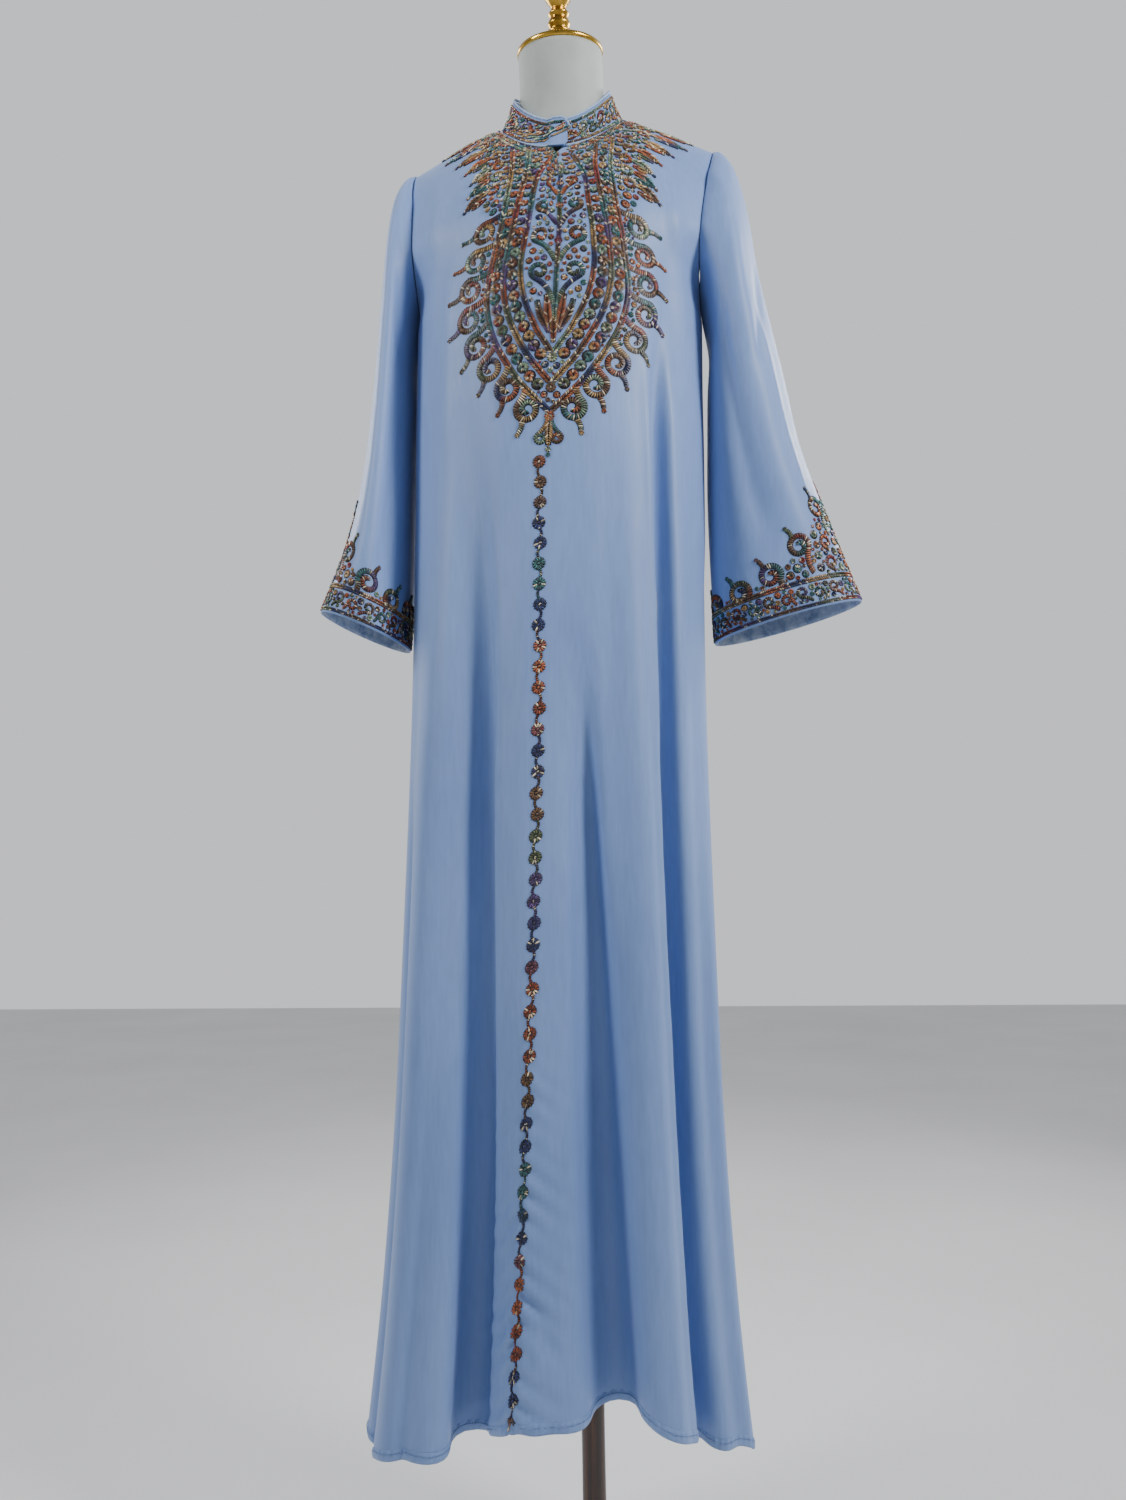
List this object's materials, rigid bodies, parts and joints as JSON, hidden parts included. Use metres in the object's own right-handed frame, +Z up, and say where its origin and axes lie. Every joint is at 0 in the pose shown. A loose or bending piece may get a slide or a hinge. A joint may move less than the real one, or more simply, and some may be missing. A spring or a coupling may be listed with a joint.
{
  "type": "abaya on a limbless dress form",
  "caption": "Full-length flared abaya with stand collar, embroidered yoke, cuffs and centre chain, hanging on a limbless dress form with a brass neck cap, wooden pole and round base.",
  "frame": {"origin": "centre of the round base's underside, on the pole's axis", "axes": "+Z up, the garment's front faces -Y, +X to the right of someone facing the front"},
  "size_m": [0.6403, 0.31, 1.9372],
  "materials": {
    "cloth": "satin-faced crepe, soft sheen",
    "embroidery": "raised metallic and coloured thread",
    "piping": "satin cord",
    "form_cover": "smooth, matt white",
    "brass": "polished",
    "wood": "dark satin varnish"
  },
  "bodies": {
    "root": {"front_panel": "cloth", "back_panel": "cloth", "sleeve_left": "cloth", "sleeve_right": "cloth", "collar": "embroidery", "collar_piping": "piping", "yoke_embroidery": "embroidery", "cuff_embroidery_left": "embroidery", "cuff_embroidery_right": "embroidery", "front_chain": "embroidery", "dress_form": "form_cover", "neck_cap": "brass", "stand_pole": "wood", "stand_base": "wood"}
  },
  "joints": []
}
